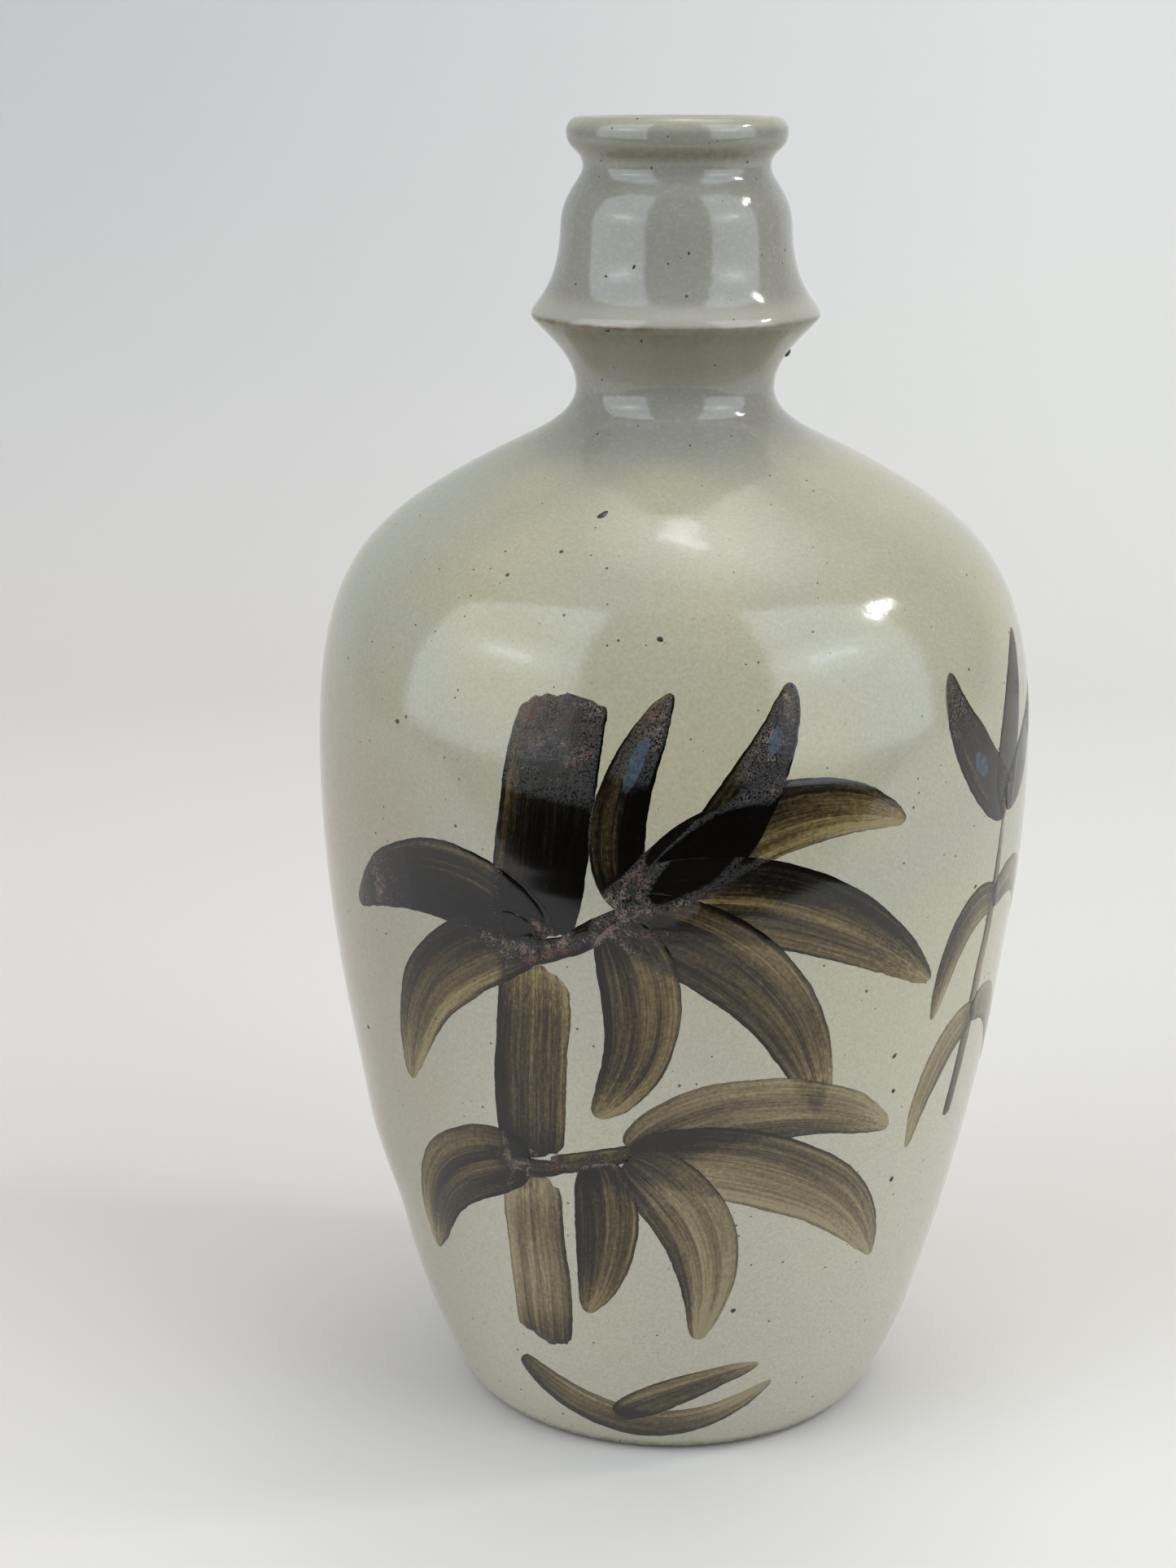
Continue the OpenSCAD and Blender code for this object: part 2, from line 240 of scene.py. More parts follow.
class Nodes:
    """Short calls for building one material's nodes. Its mm is the place on the bottle in mm."""

    def __init__(self, name):
        self.material = bpy.data.materials.new(name)
        self.material.use_nodes = True
        self.tree = self.material.node_tree
        self.tree.nodes.clear()
        self.shader = self.add("ShaderNodeBsdfPrincipled")
        out = self.add("ShaderNodeOutputMaterial")
        self.link(self.shader.outputs["BSDF"], out.inputs["Surface"])
        coords = self.add("ShaderNodeTexCoord").outputs["Object"]
        self.mm = self.vector("MULTIPLY", coords, (1 / MM, 1 / MM, 1 / MM))

    def add(self, kind, **settings):
        node = self.tree.nodes.new(kind)
        for key, value in settings.items():
            setattr(node, key, value)
        return node

    def link(self, a, b):
        self.tree.links.new(a, b)

    def feed(self, socket, value):
        """Links a socket to another, or sets it to a value."""
        if isinstance(value, bpy.types.NodeSocket):
            self.link(value, socket)
        else:
            socket.default_value = value

    def vector(self, operation, a, b):
        node = self.add("ShaderNodeVectorMath", operation=operation)
        self.feed(node.inputs[0], a)
        self.feed(node.inputs[1], b)
        return node.outputs[0]

    def xyz(self):
        """Distances in mm to the right, to the back and up."""
        parts = self.add("ShaderNodeSeparateXYZ")
        self.link(self.mm, parts.inputs[0])
        return parts.outputs

    def math(self, operation, a, b=0.0, c=0.0, clamp=False):
        node = self.add("ShaderNodeMath", operation=operation, use_clamp=clamp)
        for socket, value in zip(node.inputs, (a, b, c)):
            self.feed(socket, value)
        return node.outputs[0]

    def times(self, a, b):
        return self.math("MULTIPLY", a, b)

    def swing(self, value, amount):
        """A value from 0 to 1, made to swing either side of 0."""
        return self.times(self.math("SUBTRACT", value, 0.5), amount)

    def noise(self, scale, detail=2.0, rough=0.5, vector=None, stretch=None):
        node = self.add("ShaderNodeTexNoise")
        vector = self.mm if vector is None else vector
        if stretch:
            vector = self.vector("MULTIPLY", vector, stretch)
        self.link(vector, node.inputs["Vector"])
        node.inputs["Scale"].default_value = scale
        node.inputs["Detail"].default_value = detail
        node.inputs["Roughness"].default_value = rough
        return node.outputs[0]

    def voronoi(self, cell, shift):
        """Distance in mm to the nearest of a scatter of points, and two random values of it."""
        node = self.add("ShaderNodeTexVoronoi")
        self.link(self.vector("ADD", self.mm, (shift, shift, shift)), node.inputs["Vector"])
        node.inputs["Scale"].default_value = 1 / cell
        chance = self.add("ShaderNodeSeparateColor")
        self.link(node.outputs["Color"], chance.inputs[0])
        distance = self.times(node.outputs["Distance"], cell)
        return distance, chance.outputs[0], chance.outputs[1]

    def step(self, value, low, high, out_low=0.0, out_high=1.0):
        """Smooth step from out_low at low to out_high at high. Low may be the greater."""
        node = self.add("ShaderNodeMapRange", interpolation_type="SMOOTHSTEP")
        for socket, v in zip(node.inputs, (value, low, high, out_low, out_high)):
            self.feed(socket, v)
        return node.outputs[0]

    def band(self, value, start, full, fade, end):
        """One from full to fade, and nothing before start or after end."""
        return self.times(self.step(value, start, full), self.step(value, end, fade))

    def dots(self, distance, outer, inner, chance, share):
        """Round dots, full within inner and gone at outer, in that share of the cells."""
        return self.times(self.step(distance, outer, inner), self.step(chance, share, share - 0.02))

    def mix(self, factor, a, b):
        """Colour that goes from a to b as the factor goes from 0 to 1."""
        node = self.add("ShaderNodeMix", data_type="RGBA")
        self.feed(node.inputs[0], factor)
        for socket, value in ((MIX_A, a), (MIX_B, b)):
            self.feed(node.inputs[socket], (*value, 1.0) if isinstance(value, tuple) else value)
        return node.outputs[MIX_RESULT]

    def ramp(self, value, stops):
        """Colour ramp from (position, colour) stops."""
        node = self.add("ShaderNodeValToRGB")
        self.link(value, node.inputs[0])
        elements = node.color_ramp.elements
        while len(elements) < len(stops):
            elements.new(0.5)
        for element, (at, colour) in zip(elements, stops):
            element.position = at
            element.color = (*colour, 1.0)
        return node.outputs[0]

    def attribute(self, name):
        """A mesh attribute as a number and as a vector."""
        node = self.add("ShaderNodeAttribute", attribute_name=name)
        return node.outputs["Fac"], node.outputs["Vector"]

    def bump(self, height, distance_mm, strength, below=None):
        """Fine relief, on top of another one where below is given."""
        node = self.add("ShaderNodeBump")
        node.inputs["Strength"].default_value = strength
        node.inputs["Distance"].default_value = distance_mm * MM
        self.link(height, node.inputs["Height"])
        if below is not None:
            self.link(below, node.inputs["Normal"])
        return node.outputs[0]

    def finish(self, colour, roughness, normal=None, **values):
        """Sets the shader, with other sockets by name, and gives the material."""
        self.feed(self.shader.inputs["Base Color"], colour)
        self.feed(self.shader.inputs["Roughness"], roughness)
        if normal is not None:
            self.link(normal, self.shader.inputs["Normal"])
        for key, value in values.items():
            self.shader.inputs[key.replace("_", " ")].default_value = value
        return self.material


def srgb(r, g, b):
    """Linear colour of an 8-bit display colour."""
    def one(c):
        c = c / 255
        return c / 12.92 if c <= 0.04045 else ((c + 0.055) / 1.055) ** 2.4
    return one(r), one(g), one(b)


def along_axis(n):
    """Height, distance from the axis and distance to the right, all in mm."""
    x, y, z = n.xyz()
    r = n.math("SQRT", n.math("ADD", n.times(x, x), n.times(y, y)))
    return z, r, x


# ---------------------------------------------------------------- materials
EDGE_R, EDGE_Z = 21.7, 171.5           # the collar's edge
# Iron specks in the glaze: cell, radius, shift, share of the cells that hold one
SPECKS = ((1.9, 0.17, 0.0, 0.55), (3.6, 0.23, 31.0, 0.55), (6.4, 0.29, 57.0, 0.5))
GLASS = 1.5                            # refractive index of the glazes


def outer_glaze_material():
    n = Nodes("grey_glaze")
    z, r, x = along_axis(n)
    drift = n.noise(0.022, 2.0, 0.55)
    colour = n.mix(n.step(drift, 0.38, 0.64), srgb(166, 160, 135), srgb(156, 155, 140))
    # paler towards the foot, and darker on the left of the belly, which is painted shade
    colour = n.mix(n.step(z, 120, 40, 0.0, 0.75), colour, srgb(183, 178, 163))
    left_shade = n.times(n.step(x, -20, -46), n.step(z, 132, 104))
    colour = n.mix(n.times(left_shade, 0.85), colour, srgb(143, 134, 117))
    # a greyer neck, which starts at an uneven height
    upward = n.step(n.math("ADD", z, n.swing(drift, 20)), 149, 160)
    colour = n.mix(upward, colour, srgb(132, 130, 123))
    # body grain that shows through the glaze, and pale mottling
    grain = n.noise(2.1, 3.0, 0.65)
    colour = n.mix(n.step(grain, 0.3, 0.72, 0.0, 0.26), colour, srgb(116, 110, 90))
    pale = n.noise(1.15, 2.0, 0.6, stretch=(1.0, 1.0, 1.4))
    colour = n.mix(n.step(pale, 0.45, 0.8, 0.0, 0.16), colour, srgb(182, 180, 164))
    # the glaze pools darker in the groove and at the neck's foot, and runs olive under the lip and the
    # collar; these marks also paint shade into the hollows and under the overhangs
    pooled_and_shade = n.math("MAXIMUM", n.band(z, 189.5, 192.6, 193.8, 195.2),
                    n.times(n.band(z, 160.5, 164.5, 170.4, 171.4), 0.5))
    colour = n.mix(n.times(pooled_and_shade, 0.14), colour, srgb(102, 107, 102))
    # painted shade under the collar, tinted olive
    under = n.band(z, 160.5, 165.0, 171.3, 171.9)
    colour = n.mix(n.times(under, 0.4), colour, srgb(122, 116, 92))
    runs = n.noise(0.9, 3.0, 0.65, stretch=(1.0, 1.0, 0.12))
    # olive glaze runs, which also paint shade under the lip and under the collar's edge
    olive_and_shade = n.math("MAXIMUM", n.band(z, 193.8, 195.4, 196.0, 197.6),
                   n.band(z, 167.6, 170.8, 171.5, 171.9))
    olive_and_shade = n.times(olive_and_shade, n.step(runs, 0.3, 0.7, 0.4, 0.75))
    colour = n.mix(olive_and_shade, colour, srgb(101, 97, 77))
    # it runs thin and brown over the collar's edge, most on the left, and a painted highlight lightens
    # the ledge above, which faces up to the light
    apart = [n.math("POWER", n.math("SUBTRACT", *pair), 2.0) for pair in ((r, EDGE_R), (z, EDGE_Z))]
    near_edge = n.math("SQRT", n.math("ADD", *apart))
    worn = n.noise(0.55, 3.0, 0.7)
    rust = n.times(n.step(near_edge, 0.75, 0.1), n.step(worn, 0.4, 0.62, 0.3, 0.95))
    rust = n.times(rust, n.step(x, 5, -9, 0.35, 1.0))
    colour = n.mix(rust, colour, srgb(96, 80, 50))
    # painted highlight on the ledge above the collar's edge
    ledge_highlight = n.band(z, 171.6, 172.4, 173.2, 176.0)
    colour = n.mix(n.times(ledge_highlight, 0.6), colour, srgb(163, 160, 148))
    # a grey lip with a cream crown, and a brown rim at the glaze line over the foot
    lip = n.band(z, 195.6, 196.8, 198.2, 199.2)
    colour = n.mix(n.times(lip, 0.4), colour, srgb(112, 112, 100))
    crown = n.times(n.step(z, 198.6, 199.8), n.step(worn, 0.3, 0.65, 0.5, 0.8))
    colour = n.mix(crown, colour, srgb(156, 153, 134))
    rim = n.times(n.step(z, 2.6, 0.9), n.step(worn, 0.3, 0.6, 0.35, 0.9))
    colour = n.mix(rim, colour, srgb(104, 92, 72))
    # iron specks, fine and coarse
    specks = None
    for cell, radius, shift, share in SPECKS:
        distance, chance, size = n.voronoi(cell, shift)
        reach = n.times(n.math("ADD", size, 0.35), radius)
        dot = n.dots(n.math("DIVIDE", distance, reach), 1.15, 0.55, chance, share)
        specks = dot if specks is None else n.math("MAXIMUM", specks, dot)
    colour = n.mix(n.times(specks, 0.9), colour, srgb(44, 36, 29))
    roughness = n.step(n.noise(0.5, 2.0, 0.6), 0.2, 0.8, 0.07, 0.14)
    skin = n.bump(n.noise(0.32, 2.0, 0.5), 0.05, 0.55)
    pits = n.bump(n.math("SUBTRACT", grain, n.times(specks, 0.6)), 0.02, 0.5, skin)
    return n.finish(colour, roughness, pits, IOR=GLASS)


def clay_material():
    n = Nodes("bare_stoneware")
    z, r, _ = along_axis(n)
    drift = n.noise(0.07, 3.0, 0.6)
    colour = n.mix(n.step(drift, 0.35, 0.7), srgb(158, 140, 112), srgb(128, 104, 78))
    grain = n.noise(2.6, 4.0, 0.7)
    colour = n.mix(n.step(grain, 0.35, 0.7, 0.0, 0.5), colour, srgb(104, 84, 62))
    # browner and darker at the foot's outer edge
    dark_foot_edge = n.times(n.step(r, 30.2, 32.3), n.step(z, 2.5, 0.5))
    colour = n.mix(n.times(dark_foot_edge, 0.75), colour, srgb(84, 62, 44))
    distance, chance, _ = n.voronoi(1.6, 11.0)
    dot = n.dots(distance, 0.26, 0.12, chance, 0.6)
    colour = n.mix(n.times(dot, 0.8), colour, srgb(52, 40, 30))
    soft = n.bump(n.noise(0.9, 3.0, 0.6), 0.18, 0.7)
    fine = n.bump(grain, 0.1, 0.8, soft)
    return n.finish(colour, n.step(grain, 0.3, 0.7, 0.66, 0.86), fine)


def liner_material():
    n = Nodes("liner_glaze")
    drift = n.noise(0.05, 3.0, 0.6)
    colour = n.mix(n.step(drift, 0.35, 0.68), srgb(170, 164, 142), srgb(146, 138, 116))
    distance, chance, _ = n.voronoi(1.8, 5.0)
    dot = n.dots(distance, 0.24, 0.1, chance, 0.7)
    colour = n.mix(n.times(dot, 0.8), colour, srgb(62, 50, 38))
    skin = n.bump(n.noise(0.4, 2.0, 0.5), 0.06, 0.6)
    return n.finish(colour, n.step(drift, 0.3, 0.7, 0.14, 0.22), skin)


def ink_material(name, stops):
    """Brushed iron oxide under gloss. The mesh carries load, crust, pool and grit at each point and,
    as lane, the distance along and across the stroke in mm."""
    n = Nodes(name)
    load, crust, pool, grit = (n.attribute(key)[0] for key in ("load", "crust", "pool", "grit"))
    lane = n.attribute("lane")[1]
    # streaks of the bristles, broad and fine, and flecks where the brush runs dry
    bands = n.noise(1.0, 1.0, 0.5, vector=lane, stretch=(0.02, 0.42, 1.0))
    hairs = n.noise(1.0, 3.0, 0.75, vector=lane, stretch=(0.035, 1.6, 1.0))
    flecks = n.noise(1.0, 3.0, 0.75, vector=lane, stretch=(0.7, 3.0, 1.0))
    ink = n.math("ADD", load, n.swing(bands, 0.8))
    ink = n.math("ADD", ink, n.swing(hairs, 1.15))
    ink = n.math("ADD", ink, n.swing(n.noise(1.7, 2.0, 0.7), 0.5))
    speckle = n.math("ADD", n.times(grit, 1.2), 0.35)
    ink = n.math("ADD", ink, n.swing(flecks, speckle), clamp=True)
    colour = n.ramp(ink, stops)
    # iron crystals where the ink lies thick
    crumbs = n.noise(3.6, 3.0, 0.75)
    heap = n.math("ADD", n.swing(n.noise(0.42, 3.0, 0.65), 1.1), n.swing(crumbs, 1.5))
    crystal = n.step(n.math("ADD", crust, heap), 0.44, 0.68)
    rusty = n.mix(n.step(n.noise(0.16, 2.0, 0.5), 0.42, 0.58), srgb(92, 58, 46), srgb(110, 94, 86))
    colour = n.mix(n.step(crust, 0.15, 0.5, 0.0, 0.6), colour, srgb(20, 16, 14))
    colour = n.mix(n.times(crystal, 0.9), colour, rusty)
    # blue-grey glassy pools
    ragged = n.swing(n.noise(0.7, 2.0, 0.5), 0.5)
    glassy = n.step(n.math("ADD", pool, ragged), 0.38, 0.46)
    cloudy = n.mix(n.step(n.noise(1.2, 2.0, 0.6), 0.35, 0.65), srgb(36, 49, 60), srgb(55, 72, 84))
    colour = n.mix(n.times(glassy, 0.92), colour, cloudy)
    # duller and rougher where crystals stand
    matte = n.math("MAXIMUM", crystal, n.times(n.step(crust, 0.1, 0.3), n.step(crumbs, 0.45, 0.6)))
    roughness = n.mix(matte, (0.10, 0.10, 0.10), (0.30, 0.30, 0.30))
    relief = n.bump(n.math("ADD", hairs, n.times(bands, 0.8)), 0.02, 0.4)
    rough_relief = n.bump(n.times(crumbs, matte), 0.09, 0.8, relief)
    return n.finish(colour, roughness, rough_relief, IOR=GLASS)


def spot_material():
    n = Nodes("iron_spots")
    colour = n.mix(n.noise(3.0, 2.0, 0.6), srgb(24, 20, 17), srgb(66, 50, 38))
    roughness = n.step(n.noise(2.0), 0.3, 0.7, 0.15, 0.35)
    return n.finish(colour, roughness, n.bump(n.noise(4.0), 0.03, 0.5))


# ---------------------------------------------------------------- shells
SEGMENTS, LINER_SEGMENTS = 288, 192
CUT_X, CUT_Y, CUT_PITCH, CUT_DEPTH = 5, -3, 3.4, 0.16   # the cord-cut spiral's centre and turns
CUT_FADE_IN, CUT_R, CUT_FADE_OUT = 4, 23.6, 1.5         # it starts softly and ends within a radius


def cord_cut(angle, r, z):
    """Cord-cut spiral in the foot's recess, as heights in mm."""
    a = np.radians(angle)
    x, y = r * np.sin(a) - CUT_X, -r * np.cos(a) - CUT_Y
    off_centre = np.hypot(x, y)
    turns = 2 * math.pi * off_centre / CUT_PITCH - np.arctan2(y, x)
    spiral = CUT_DEPTH * np.sin(turns) * np.clip(off_centre / CUT_FADE_IN, 0, 1)
    on_recess = (z > RECESS_H - 0.1) & (z < RECESS_H + 0.1)
    return spiral * np.where(on_recess, np.clip((CUT_R - r) / CUT_FADE_OUT, 0, 1), 0)


def revolve_parts(parts):
    """One loop and its weights, from runs of points that each have one wobble weight."""
    loop = np.concatenate([np.atleast_2d(p) for p, _ in parts])
    weights = np.concatenate([np.full(len(np.atleast_2d(p)), w, float) for p, w in parts])
    return loop, weights


def cut_at(curve, axis, value):
    """Index of a curve's first point past a value, and the point where it crosses the value."""
    k = int(np.argmax(curve[:, axis] >= value)) if curve[0, axis] < value else \
        int(np.argmax(curve[:, axis] <= value))
    a, b = curve[k - 1], curve[k]
    return k, a + (b - a) * (value - a[axis]) / (b[axis] - a[axis])


CLAY_CROWN, GLAZE_CROWN = sum(UNDER_STEPS[:-1]), sum(OUTER_STEPS[:-1])
seam_i, seam_out = cut_at(CLAY, 1, BELLY_SEAM_Z)
neck_i, neck_out = cut_at(CLAY, 1, NECK_SEAM_Z)
lap_i, lap_in = cut_at(INSIDE, 1, BELLY_SEAM_Z + LAP_H)
wide = int(np.argmax(INSIDE[:, 0]))
spigot_i, spigot_in = cut_at(INSIDE[wide:], 0, SPIGOT_R)
spigot_i += wide

clay = clay_material()
recess = [(r, RECESS_H) for r in np.linspace(0, 22.8, 58)]
ring = [(23.4, 1.34), (24.0, 1.1), (24.5, 0.66), (24.9, 0.25), (25.4, 0.04), (25.9, 0.0),
        (28.2, 0.0), (30.3, 0.0), (30.9, 0.05), (31.5, 0.22), (32.0, 0.5)]
body = revolve("clay_body", *revolve_parts([
    (recess, 0), (ring, 0), (CLAY[:seam_i], 1), (seam_out, 1), ((LAP_R, BELLY_SEAM_Z), 0),
    ((LAP_R, BELLY_SEAM_Z + LAP_H), 0), (lap_in, 0), (INSIDE[:lap_i][::-1], 0)]),
    SEGMENTS, clay, "stoneware", cord_cut)
shoulder = revolve("clay_shoulder", *revolve_parts([
    ((LAP_R, BELLY_SEAM_Z), 0), (seam_out, 1), (CLAY[seam_i:neck_i], 1), (neck_out, 1),
    ((SPIGOT_R, NECK_SEAM_Z), 0), (spigot_in, 0), (INSIDE[lap_i:spigot_i][::-1], 0), (lap_in, 0),
    ((LAP_R, BELLY_SEAM_Z + LAP_H), 0)]), SEGMENTS, clay, "stoneware")
neck = revolve("clay_neck", *revolve_parts([
    ((SPIGOT_R, NECK_SEAM_Z), 0), (neck_out, 1), (CLAY[neck_i:CLAY_CROWN], 1), (CLAY[CLAY_CROWN:], 0),
    (INSIDE[spigot_i:-1][::-1], 0), (spigot_in, 0)]), SEGMENTS, clay, "stoneware")
coat = revolve("glaze_coat", *revolve_parts([
    (GLAZE[:GLAZE_CROWN], 1), (GLAZE[GLAZE_CROWN:], 0),
    (CLAY[CLAY_CROWN:][::-1], 0), (CLAY[:CLAY_CROWN][::-1], 1)]),
    SEGMENTS, outer_glaze_material(), "outer_glaze")
liner = revolve("liner_glaze", *revolve_parts([(INSIDE, 0), (LINER[::-1], 0)]),
                LINER_SEGMENTS, liner_material(), "inner_glaze")
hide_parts("stoneware_body")
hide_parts("stoneware_shoulder")
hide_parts("stoneware_neck")
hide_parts("outer_glaze")
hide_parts("inner_glaze")


# ---------------------------------------------------------------- brushwork
# A stroke: four control points [degrees round from the front, height], greatest breadth,
# how blunt it opens and closes, and the tone of the ink: d dark, m middle, l light.
LEAF, SEGMENT = (0.32, 0.62), (0.07, 0.07)
CULM = [
    ([[-26, 21], [-26, 31], [-25, 41], [-24, 51]], 10.0, SEGMENT, "l"),
    ([[-24, 55], [-23, 65], [-22, 76], [-21, 86]], 11.5, SEGMENT, "m"),
    ([[-21, 91], [-20, 102], [-18, 113], [-16, 125]], 14.0, SEGMENT, "d"),
    ([[-33, 55], [-28, 52], [-22, 52], [-15, 55]], 3.0, (0.5, 0.6), "m"),
    ([[-31, 90], [-26, 87], [-18, 87], [-11, 92]], 3.8, (0.5, 0.6), "d"),
    ([[-16, 89], [-12, 91], [-8, 94], [-3, 97]], 3.6, (0.2, 0.4), "d"),
    ([[-20, 54], [-15, 55], [-9, 56], [-3, 58]], 3.2, (0.2, 0.4), "m"),
]
LEAVES = [
    ([[-6, 96], [8, 108], [22, 113], [37, 106]], 11.0, LEAF, "m"),
    ([[-3, 97], [6, 103], [14, 113], [18, 127]], 9.5, LEAF, "d"),
    ([[-6, 96], [-10, 104], [-7, 116], [0, 126]], 8.0, LEAF, "d"),
    ([[-8, 95], [8, 101], [28, 94], [45, 80]], 13.0, LEAF, "m"),
    ([[-8, 94], [8, 92], [21, 80], [25, 62]], 12.5, LEAF, "m"),
    ([[-9, 93], [-1, 84], [-3, 72], [-12, 63]], 11.5, LEAF, "m"),
    ([[-20, 90], [-32, 100], [-46, 98], [-58, 88]], 12.0, LEAF, "d"),
    ([[-20, 90], [-34, 88], [-45, 78], [-49, 62]], 11.5, LEAF, "m"),
    ([[-6, 57], [8, 67], [26, 66], [40, 57]], 10.5, LEAF, "l"),
    ([[-6, 56], [14, 58], [32, 50], [43, 34]], 12.5, LEAF, "l"),
    ([[-7, 56], [5, 49], [11, 38], [6, 24]], 11.5, LEAF, "l"),
    ([[-12, 55], [-10, 48], [-11, 38], [-16, 28]], 9.5, LEAF, "m"),
    ([[-24, 53], [-38, 54], [-48, 46], [-54, 31]], 12.0, LEAF, "m"),
]
GROUND = [
    ([[-34, 16], [-20, 5], [6, 3], [24, 14]], 6.5, LEAF, "l"),
    ([[-12, 8], [-2, 13], [8, 16], [20, 18]], 5.5, LEAF, "l"),
]
SIDE_SPRAY = [
    ([[58, 54], [60, 72], [62, 88], [64, 104]], 2.8, (0.15, 0.5), "l"),
    ([[65, 102], [56, 108], [50, 114], [48, 125]], 9.0, LEAF, "d"),
    ([[64, 103], [64, 112], [68, 120], [74, 127]], 8.0, LEAF, "d"),
    ([[64, 103], [72, 106], [78, 112], [84, 117]], 7.5, LEAF, "d"),
    ([[63, 88], [54, 91], [49, 84], [47, 73]], 6.0, LEAF, "l"),
    ([[62, 88], [70, 93], [77, 90], [81, 81]], 6.0, LEAF, "l"),
    ([[61, 70], [53, 71], [48, 64], [46, 52]], 6.0, LEAF, "l"),
    ([[60, 70], [67, 73], [74, 68], [78, 57]], 6.0, LEAF, "l"),
]
PAINTED = [("culm", "painted_culm", CULM), ("leaf", "painted_leaves", LEAVES),
           ("ground", "painted_ground", GROUND), ("spray", "painted_side_spray", SIDE_SPRAY)]
# Ink by tone: how loaded the brush is, and the colours from thin to thick
TONES = {"d": 0.76, "m": 0.56, "l": 0.38}
INK_COLOURS = {
    "d": ("ink_dark", ((116, 102, 68), (84, 71, 43), (46, 38, 23), (21, 17, 12), (8, 7, 6))),
    "m": ("ink_middle", ((128, 114, 80), (98, 84, 53), (66, 55, 34), (34, 28, 19), (12, 11, 9))),
    "l": ("ink_light", ((138, 127, 98), (114, 101, 74), (86, 75, 54), (54, 48, 37), (30, 27, 22))),
}
STOP_GAP = 0.22                        # between two colours on the ramp
# Glassy pools: stroke number, share of its length, half length and half breadth in mm
POOLS = {10: (0.66, 4.4, 1.0), 8: (0.10, 2.2, 1.6), 24: (0.45, 2.6, 1.3), 9: (0.78, 2.2, 0.9)}
TIP_W = 0.4                            # breadth of a stroke's very ends
ROW_STEP, LANES = 0.42, 19             # a stroke's mesh: mm between rows, and points in a row
INK_H, OVER_INK_H, LEAST_H = 0.045, 0.05, 0.012   # over the glaze, and over each stroke below
SUNK = 0.05                            # how far a stroke's underside lies in the glaze
DRY_FROM, DRY_OVER = 0.72, 0.28        # share of a stroke's length from which it runs dry
BLUNT = 0.1                            # a stroke that opens more bluntly than this has domed ends
RAGGED = ((0, 6, 0.30), (3, 1.4, 0.10), (5, 0.5, 0.07))   # ragged sides: seed, length and size
END_REACH = 3.0                        # mm over which a stroke's ends are shaped


def wander(seed, x):
    """Smooth random values between -1 and 1 along a line."""
    table = np.random.default_rng(seed).uniform(-1, 1, 512)
    x = np.asarray(x, float) + 200
    i = np.floor(x).astype(int)
    t = x - i
    t = t * t * (3 - 2 * t)
    return table[i % 512] * (1 - t) + table[(i + 1) % 512] * t


def breadth(stroke, t):
    """Breadth of a stroke along its parameter."""
    _, width, (a, b), _ = stroke
    peak = a / (a + b)
    opening = (np.maximum(t, 0) / peak) ** a * (np.maximum(1 - t, 0) / (1 - peak)) ** b
    return TIP_W + (width - TIP_W) * opening


def centre_line(stroke, count):
    """Evenly spaced points along a stroke: parameter, length so far, place and crossways direction."""
    h = np.array(stroke[0], float)
    fine = np.linspace(0, 1, 400)
    p, slope = bezier(h, fine), bezier_slope(h, fine)
    r = wall_r(p[:, 1])
    flat = np.stack([np.radians(slope[:, 0]) * r, slope[:, 1]], -1)
    speed = np.linalg.norm(flat, axis=1)
    length = np.concatenate([[0], np.cumsum((speed[1:] + speed[:-1]) / 2)]) * (fine[1] - fine[0]) * 3
    u = np.linspace(0, length[-1], count)
    t = np.interp(u, length, fine)
    p, slope = bezier(h, t), bezier_slope(h, t)
    r = wall_r(p[:, 1])
    across = right_of(np.stack([np.radians(slope[:, 0]) * r, slope[:, 1]], -1))
    return t, u, p, across


def cover(stroke, angle, z):
    """How far inside another stroke's edge each point lies, in mm (negative outside)."""
    t, _, p, _ = centre_line(stroke, 60)
    half = breadth(stroke, t) / 2
    dx = np.radians(turn(angle[..., None], p[:, 0])) * wall_r(z)[..., None]
    dz = z[..., None] - p[:, 1]
    return np.max(half - np.hypot(dx, dz), -1)


def on_wall(angle, z, lift):
    """Point at a height in mm over the glaze of the bottle's body."""
    z_low, z_high = z - 0.5, z + 0.5
    slope = right_of(np.stack([wall_r(z_high) - wall_r(z_low), z_high - z_low], -1))
    return place(angle, wall_r(z) + wobble(angle, z) + lift * slope[..., 0], z + lift * slope[..., 1])


def slab_faces(rows, cols):
    """Faces of a closed slab, from a grid of points on top and then the same grid below."""
    index = np.arange(rows * cols).reshape(rows, cols)
    below = index + rows * cols
    faces = []
    for i in range(rows - 1):
        for j in range(cols - 1):
            faces.append((index[i, j], index[i, j + 1], index[i + 1, j + 1], index[i + 1, j]))
            faces.append((below[i, j], below[i + 1, j], below[i + 1, j + 1], below[i, j + 1]))
        faces.append((index[i, 0], index[i + 1, 0], below[i + 1, 0], below[i, 0]))
        faces.append((index[i, -1], below[i, -1], below[i + 1, -1], index[i + 1, -1]))
    for j in range(cols - 1):
        faces.append((index[0, j], below[0, j], below[0, j + 1], index[0, j + 1]))
        faces.append((index[-1, j], index[-1, j + 1], below[-1, j + 1], below[-1, j]))
    return faces


def add_values(piece, grids):
    """Point attributes of a slab, the same on top and below."""
    for key, grid in grids.items():
        is_vector = grid.ndim == 3
        layer = piece.data.attributes.new(key, "FLOAT_VECTOR" if is_vector else "FLOAT", "POINT")
        doubled = np.concatenate([grid.ravel()] * 2).astype(np.float32)
        layer.data.foreach_set("vector" if is_vector else "value", doubled)


